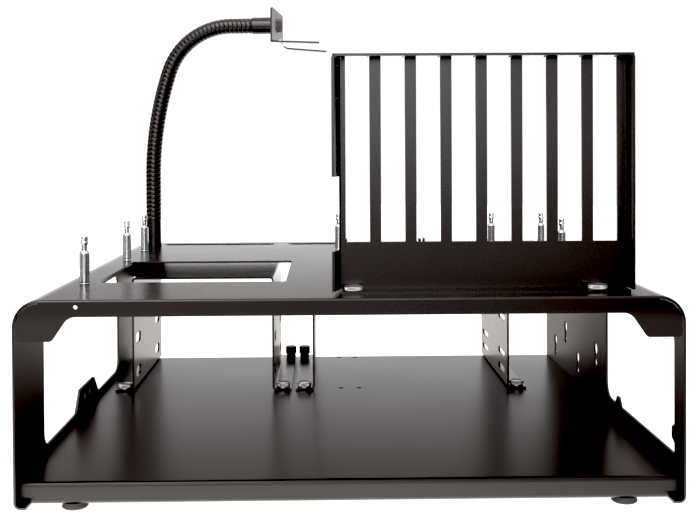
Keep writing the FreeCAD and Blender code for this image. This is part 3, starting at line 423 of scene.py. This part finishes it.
bracket_zinc_painted_light, shader, place = new_finish("bracket_zinc_painted_light", Metallic=1.0)
spangle = noise(place, SPANGLE_CELLS, 4.0)
# painted light: the face is a lighter copy of the zinc on the nuts, as if lit
painted_lit_zinc = blend_colours(spangle, (0.79, 0.79, 0.78), (0.93, 0.93, 0.92))
prong_dark_reflection = fade(along(place, "Z"), *PRONG_REFLECTION_FADE)
reading = {0: place, 1: across_plate}
width = add_node(place.tree, "ShaderNodeVectorMath", {"operation": "DOT_PRODUCT"}, reading, "Value")
edge_dark_reflection = fade(width, near_edge + EDGE_REFLECTION_FADE[0], near_edge + EDGE_REFLECTION_FADE[1])
# painted dark reflection: the prongs and the cut edge are blended to near black
feed(shader, "Base Color", blend_colours(either(prong_dark_reflection, edge_dark_reflection), painted_lit_zinc, (0.03, 0.03, 0.03)))
feed(shader, "Roughness", 0.3 + 0.2 * spangle)
print("edge of the plate:", round(near_edge / MM, 1), "mm across")

# %% Every finish on its solids
by_slot = {
    "arm_black": arm_gloss, "screw_black": knob_black, "nickel": nickel, "zinc": zinc, "rubber": rubber,
}
for part in frame["record"]["subparts"]:
    if part["material_slot"] in by_slot:
        paint(part["node"], by_slot[part["material_slot"]])
paint("fan_bracket", bracket_zinc_painted_light)
print("slots painted:", len(by_slot))

# %% [markdown]
# ## The ribbed arm
# A flexible arm is a round wire and a wedge wire wound together into a tube, so its ribs are not rings but
# one long screw thread. A screw modifier could wind it, but it cannot follow the bend. Here the line of the
# arm is the running sum of its direction, which tips from upright to level, and the radius is a function of
# how far along and how far round the tube a point is.

# %% Arm wound along its line
STRAIGHT, LEAN_RADIUS, BEND_RADIUS, TAIL = 37.3, 285.0, 56.7, 18.6
RIB_PITCH = 3.76
lean = math.radians(18.3)
runs = [STRAIGHT, LEAN_RADIUS * lean, BEND_RADIUS * (math.pi / 2 - lean), TAIL]
marks = np.concatenate([[0.0], np.cumsum(runs)])


def wound_arm(foot, pitch=RIB_PITCH, rib=6.4, groove=6.0, across=44, rows_each=14):
    """Point = line(s) + r (cos t side + sin t flat), where r dips at each turn of s / pitch - t / 2 pi."""
    rows = int(marks[-1] / pitch * rows_each)
    s = np.linspace(0.0, marks[-1], rows)
    tip = np.interp(s, marks, [0.0, 0.0, lean, math.pi / 2, math.pi / 2])
    halfway = (tip[1:] + tip[:-1]) / 2
    reach = np.concatenate([[0.0], np.cumsum(np.sin(halfway) * s[1])])
    rise = np.concatenate([[0.0], np.cumsum(np.cos(halfway) * s[1])])
    line = foot + reach[:, None] * heading + rise[:, None] * UP
    side = np.cos(tip)[:, None] * heading - np.sin(tip)[:, None] * UP
    flat = np.cross(UP, heading)
    t = full_turn(across)
    phase = s[:, None] / pitch - t[None, :] / (2 * math.pi)
    r = rib - (rib - groove) * (1 - np.abs(np.sin(math.pi * phase))) ** 3
    around = np.cos(t)[None, :, None] * side[:, None, :] + np.sin(t)[None, :, None] * flat
    return line[:, None, :] + r[:, :, None] * around


winding = wound_arm(np.array(middle_of("arm_base_ferrule")))
make_piece("flex_arm_winding", [winding], arm_gloss, "arm", "arm_black", "flex_arm", crease=80)
print("arm:", round(marks[-1], 1), "mm along its line,", round(marks[-1] / RIB_PITCH), "ribs")

# %% [markdown]
# ## Turned profiles
# A lathe part is a profile turned round an axis. Real edges are broken a little, and that is where they catch
# the light, so the corners of each profile are rounded by short parabolas. A bevel modifier would round them
# too, but it would also round the teeth of a knurl. A knurl is pressed into the rim: two sets of slanting
# ridges that cross, so the radius drops wherever either set has a valley.

# %% Profiles with broken corners


def rounded(profile, radius=0.25, steps=4, bend_share=0.3, flat_share=0.45):
    """Profile whose corners follow a parabola from a point just before each corner to one just after it."""
    line = np.asarray(profile, dtype=float)
    corner = line[1:-1]

    def toward(other, reach, share):
        step = other - corner
        length = np.linalg.norm(step, axis=1, keepdims=True)
        return (corner + step / length * np.minimum(reach, share * length))[:, None]

    t = np.linspace(0.0, 1.0, steps)[None, :, None]
    start, end = toward(line[:-2], radius, bend_share), toward(line[2:], radius, bend_share)
    bend = (1 - t) ** 2 * start + 2 * t * (1 - t) * corner[:, None] + t**2 * end
    before, after = toward(line[:-2], 2 * radius, flat_share), toward(line[2:], 2 * radius, flat_share)
    bend = np.concatenate([before, bend, after], axis=1)
    return np.concatenate([line[:1], bend.reshape(-1, 2), line[-1:]])


def turned(profile, x, y, z, segments=48):
    """Point = (x + r cos t, y + r sin t, z + h) for each (r, h) of the profile and each angle t."""
    t = full_turn(segments)[None, :]
    r, h = profile[:, :1], profile[:, 1:]
    return np.stack([x + r * np.cos(t), y + r * np.sin(t), z + h + 0 * t], axis=-1)


def rim(radius, low, high, rows=7):
    """Points up the rim of a head, close enough together to carry a knurl."""
    return [(radius, h) for h in np.linspace(low, high, rows)]


print("a square corner becomes", len(rounded([(1, 0), (1, 1), (0, 1)])) - 2, "points")

# %% Knurls
TEETH, STEPS_EACH = 40, 6
KNURL_DEPTH, KNURL_LEAD, KNURL_EASE = 0.3, 1.1, 0.35
SHANK_LIMIT = 3.5  # thinner than this is shank or dish, and stays plain


def knurled(profile, x, y, z, low, high):
    """Turned skin whose radius, from low to high, drops in the valleys of two crossing sets of ridges."""
    skin = turned(profile, x, y, z, segments=TEETH * STEPS_EACH)
    t = np.linspace(0.0, TEETH, TEETH * STEPS_EACH, endpoint=False)[None, :]
    r, h = profile[:, :1], profile[:, 1:]
    slant = (h - low) / KNURL_LEAD
    ridges = np.minimum(np.abs(np.sin(math.pi * (t + slant))), np.abs(np.sin(math.pi * (t - slant))))
    band = np.clip((h - low) / KNURL_EASE, 0, 1) * np.clip((high - h) / KNURL_EASE, 0, 1) * (r > SHANK_LIMIT)
    shrink = 1 - KNURL_DEPTH * band * (1 - ridges) / np.maximum(r, 1.0)
    skin[..., 0] = x + (skin[..., 0] - x) * shrink
    skin[..., 1] = y + (skin[..., 1] - y) * shrink
    return skin


print("knurl:", TEETH, "teeth,", KNURL_DEPTH, "mm deep")

# %% [markdown]
# ## The pins under the board
# Each pin is a nickel spindle with a cone at its shoulder, a ring cut near its foot and a tip that is sawn in
# two, so that it springs into a board's hole. The saw cut could be a boolean, but two half-round prongs are
# simpler: at each height a prong is the part of a circle that lies beyond the cut, leaning out a little.

# %% Spindles with split tips
TIP_FOOT, TIP_END = 21.9, 29.2
TIP_HEIGHTS = [TIP_FOOT, 24.2, 24.9, 25.6, 26.3, 28.5, TIP_END]
TIP_RADII = [1.75, 1.75, 2.3, 2.3, 1.9, 2.2, 1.95]
spindle = [
    (1.6, -4.9), (1.75, -4.7), (1.75, 0), (2.9, 0), (3, 0.7), (2.75, 0.9), (2.75, 1.5), (3, 1.7), (3, 19),
    (1.75, 20.6), (1.75, 22.2), (0.3, 22.3),
]


def prong(side, x, y, z, saw=0.2, splay=0.1, around=24, rows=26):
    """Loop at height h: an arc of radius r(h) beyond the cut, closed by its chord, pushed out as it rises."""
    h = np.linspace(TIP_FOOT, TIP_END, rows)[:, None]
    r = np.interp(h, TIP_HEIGHTS, TIP_RADII)
    half = np.arccos(saw / r)
    t = np.linspace(-1.0, 1.0, around)[None, :]
    lean_out = splay * ((h - TIP_FOOT) / (TIP_END - TIP_FOOT)) ** 1.5
    px = r * np.cos(half * t) + lean_out
    py = r * np.sin(half * t)
    return np.stack([x + side * px, y + side * py, z + h + 0 * t], axis=-1)


pin_line = rounded(spindle, radius=0.18)
pins = [name for name in solids if name.startswith("standoff_") and name != "standoff_nuts"]
for name in pins:
    x, y, top = middle_of(name)
    foot = top - TIP_END
    grids = [turned(pin_line, x, y, foot), prong(1, x, y, foot), prong(-1, x, y, foot)]
    make_piece("split_" + name, grids, pin_nickel, "bench", "nickel", name)
print("pins made:", len(pins))

# %% [markdown]
# ## The hand screws
# Ten screws are turned by hand. The low ones have a knurled nickel head with a dished top, four of them on a
# collar, and the tall black knobs stand behind the cages where fingers need more to hold. Each could be
# modelled by itself, but all are lathe work: one profile is written for each kind, from the tip of the shank
# to the middle of the top.

# %% Profiles of the heads
seats = {"front": 18.0, "rear": 18.0, "rack": 119.8}
shank = [(1.7, -8.0), (2.0, -7.6), (2.0, -0.01)]
low_collar = [(5.0, 0), (5.0, 0.8), (4.9, 0.8)]
low_dish = [(4.9, 3.6), (4.4, 3.5), (4.1, 3.15), (0.2, 3.05)]
tall_collar = [(3.8, 0), (3.8, 2.5), (4.25, 2.5)]
tall_dish = [(4.25, 8.9), (3.85, 8.8), (3.65, 8.5), (0.2, 8.4)]
flat_dish = [(5.1, 2.6), (4.6, 2.55), (4.3, 2.3), (0.2, 2.25)]
heads = {  # profile, knurl from and to, finish and slot
    "front": (shank + low_collar + rim(5.4, 1.2, 3.2) + low_dish, 1.0, 3.4, nickel, "nickel"),
    "rear": (shank + tall_collar + rim(4.65, 2.9, 8.5, 12) + tall_dish, 2.7, 8.7, knob_black, "screw_black"),
    "rack": (shank + [(5.2, 0)] + rim(5.6, 0.3, 2.3) + flat_dish, 0.15, 2.45, nickel, "nickel"),
}
print("kinds of head:", len(heads))

# %% Knurled heads on their seats
screws = [name for name in solids if "_screw_" in name]
for name in screws:
    kind = "rack" if name.startswith("rack") else name.split("_")[2]
    profile, low, high, finish, slot = heads[kind]
    x, y, _ = middle_of(name)
    skin = knurled(rounded(profile, radius=0.12, steps=3), x, y, seats[kind], low, high)
    make_piece("knurled_" + name, [skin], finish, name, slot, name, crease=50)
print("hand screws made:", len(screws))

# %% [markdown]
# ## The white table
# The bench stands on a white table in a white studio, so nothing but white is seen round it, and the sheet
# mirrors that white where it is seen at a low angle. A plane with a white material would do for the eye, but
# white on all sides would wash the black out. So the table is a disc, white to the camera alone. To the
# bench it shines only in its middle, and in a strip before the front lip.

# %% Disc of the table
TABLE_SIDES, TABLE_LEVEL = 96, -0.0003
angle = full_turn(TABLE_SIDES)
rings_out = np.array([0.0005, 0.4, 0.8, 1.6, 3.0])[:, None]
flat_level = TABLE_LEVEL + 0 * rings_out * angle
disc = np.stack([rings_out * np.cos(angle), rings_out * np.sin(angle), flat_level], axis=-1)
disc_faces = ring_quads(*disc.shape[:2])[:, ::-1].tolist() + [list(range(TABLE_SIDES))]
table_mesh = bpy.data.meshes.new("white_table")
table_mesh.from_pydata(disc.reshape(-1, 3), [], disc_faces)
table = bpy.data.objects.new("white_table", table_mesh)
scene.collection.objects.link(table)
print("table:", len(table_mesh.polygons), "faces")

# %% White to the camera, patched for the bench
GLOW_SHARE = 0.2  # the strip is brighter than white, so the mask is shrunk and the strength makes up for it
FRONT_LEAST, FRONT_MORE, STRIP_GAIN = 0.05, 0.75, 3.2
table_white, shader, place = new_finish("table_white", Roughness=0.6, Emission_Strength=1.25 / GLOW_SHARE)
shade = noise(place, 1.5)
feed(shader, "Base Color", blend_colours(shade, (0.09, 0.09, 0.088), (0.11, 0.11, 0.108)))
across, back = along(place, "X"), along(place, "Y")
front = FRONT_LEAST + FRONT_MORE * fade(back - 1.1 * across, -1.2, 0.1)
behind = fade(back, -0.3, -0.19)
middle = fade(across * across, 0.5, 0.2)
strip = fade(back, -0.27, -0.19) * fade(back, -0.13, -0.20) * fade(across, 0.36, 0.0)
lit = either(front, behind) * middle + STRIP_GAIN * strip
seen = add_node(place.tree, "ShaderNodeLightPath", output="Is Camera Ray")
glow = either(seen, lit) * GLOW_SHARE
feed(shader, "Emission Color", blend_colours(glow, (0.0, 0.0, 0.0), (1.0, 0.965, 0.945)))
table_mesh.materials.append(table_white)
print("nodes in the table's finish:", len(table_white.node_tree.nodes))

# %% [markdown]
# ## The room and its lights
# A photographer's room is white, but one that is white on all sides turns black sheet grey. So the room too
# is white to the camera alone, and dim to the bench but for its ceiling and a little of its walls. Two sweeps
# behind, one low and one high, give the sheen on the deck and the floor. A card and a soft box in front lift
# the bars of the rack, one light above the left draws the folds, and a box on either side does the same for
# a viewer who walks round. The levels at the end are those of a print.

# %% Room that is white to the camera
CEILING_LIGHT, WALL_LIGHT = 0.9, 0.2
room = bpy.data.worlds.new("white_room")
scene.world = room
room.use_nodes = True
tree = room.node_tree
seen = add_node(tree, "ShaderNodeLightPath", output="Is Camera Ray")
sight = add_node(tree, "ShaderNodeTexCoord", output="Generated")
height = along(sight, "Z")
ceiling = fade(height, 0.4, 0.75) * CEILING_LIGHT
walls = fade(height, 0.14, 0.24) * fade(along(sight, "Y"), 0.55, 0.15) * WALL_LIGHT
dim = blend_colours(either(ceiling, walls), (0.15, 0.143, 0.139), (1.5, 1.46, 1.44))
feed(tree.nodes["Background"], "Color", blend_colours(seen, dim, (1.0, 1.0, 1.0)))
print("nodes in the room:", len(tree.nodes))

# %% Soft boxes and levels


def soft_box(name, place, aim, size, watts):
    """Large area light at a place, turned to a point; its size is width and height."""
    lamp = bpy.data.lights.new(name, "AREA")
    lamp.shape = "RECTANGLE"
    lamp.size, lamp.size_y = size
    lamp.energy = watts
    item = bpy.data.objects.new(name, lamp)
    scene.collection.objects.link(item)
    back = np.array(place) - np.array(aim)
    back = back / np.linalg.norm(back)
    across = np.cross(UP, back)
    across = across / np.linalg.norm(across)
    axes = np.column_stack([across, np.cross(back, across), back, place])
    item.matrix_world = Matrix([*axes.tolist(), [0, 0, 0, 1]])
    item.visible_camera = False


soft_box("front_soft_box", (-0.25, -2.0, 0.75), (0.0, 0.0, 0.2), size=(1.3, 0.8), watts=13.0)
soft_box("low_sweep", (0.0, 1.0, 0.12), (0.0, 0.0, 0.12), size=(1.5, 0.26), watts=2.25)
soft_box("high_sweep", (0.0, 1.0, 0.34), (0.0, 0.0, 0.34), size=(1.5, 0.18), watts=0.2)
soft_box("front_card", (-0.1, -2.0, 0.3), (-0.1, 0.0, 0.2), size=(1.6, 0.36), watts=5.2)
soft_box("left_side_box", (-2.4, 0.0, 0.75), (0.0, 0.0, 0.15), size=(1.8, 0.7), watts=4.0)
soft_box("right_side_box", (2.4, 0.0, 0.75), (0.0, 0.0, 0.15), size=(1.8, 0.7), watts=4.0)
soft_box("left_overhead", (-0.55, -1.0, 1.3), (-0.1, -0.15, 0.05), size=(0.8, 1.0), watts=16.0)

scene.view_settings.view_transform = "Standard"
scene.view_settings.use_curve_mapping = True
levels = scene.view_settings.curve_mapping
levels.black_level = (0.026, 0.0295, 0.0305)
levels.white_level = (0.92, 0.92, 0.92)
levels.update()
print("lights:", len(bpy.data.lights))
